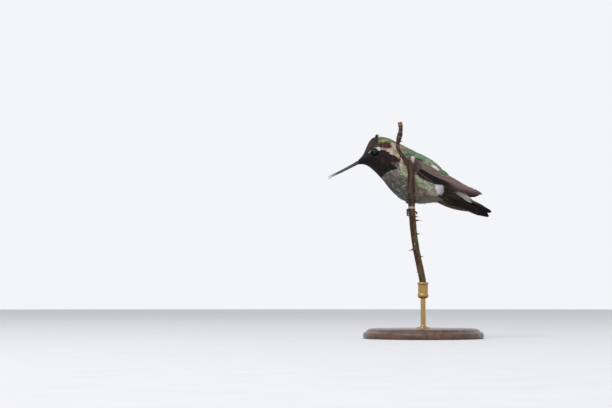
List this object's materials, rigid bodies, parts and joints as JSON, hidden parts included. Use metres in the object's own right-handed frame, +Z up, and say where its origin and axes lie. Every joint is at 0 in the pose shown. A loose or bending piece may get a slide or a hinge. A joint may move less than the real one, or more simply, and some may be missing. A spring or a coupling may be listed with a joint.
{
  "type": "perched hummingbird model",
  "caption": "Life-size male Anna's hummingbird with folded wings and slightly open bill, gripping a short thorny rose cane held by a cup and rod on a round display stand.",
  "frame": {"origin": "centre of the stand base's underside", "axes": "+Z up; the bird looks towards -X; its left side is towards -Y"},
  "size_m": [0.0979, 0.072, 0.1282],
  "materials": {
    "crown_feathers": "satin plumage, green with an iridescent sheen",
    "gorget_feathers": "near-black plumage with a faint rose iridescence",
    "body_feathers": "soft plumage, green above and grey mottled below",
    "wing_feathers": "smooth grey-brown flight feathers",
    "tail_feathers": "smooth dark tail feathers",
    "bill_horn": "satin black horn",
    "claw_horn": "glossy black horn",
    "eye": "wet gloss, very dark brown",
    "foot_skin": "dark scaly skin",
    "cane_bark": "rough reddish-brown bark",
    "stand_wood": "satin dark walnut",
    "stand_metal": "satin aged brass"
  },
  "bodies": {
    "root": {"claw_left_1": "claw_horn", "claw_left_2": "claw_horn", "claw_left_3": "claw_horn", "claw_left_4": "claw_horn", "claw_right_1": "claw_horn", "claw_right_2": "claw_horn", "claw_right_3": "claw_horn", "claw_right_4": "claw_horn", "eye_left": "eye", "eye_right": "eye", "gorget": "gorget_feathers", "head": "crown_feathers", "leg_left": "foot_skin", "leg_right": "foot_skin", "lower_bill": "bill_horn", "neck": "body_feathers", "perch_cane": "cane_bark", "stand_base": "stand_wood", "stand_cup": "stand_metal", "stand_rod": "stand_metal", "tail_coverts": "body_feathers", "tail_left": "tail_feathers", "tail_right": "tail_feathers", "trunk": "body_feathers", "upper_bill": "bill_horn", "wing_left_coverts": "wing_feathers", "wing_left_primaries": "wing_feathers", "wing_left_secondaries": "wing_feathers", "wing_right_coverts": "wing_feathers", "wing_right_primaries": "wing_feathers", "wing_right_secondaries": "wing_feathers"}
  },
  "joints": []
}
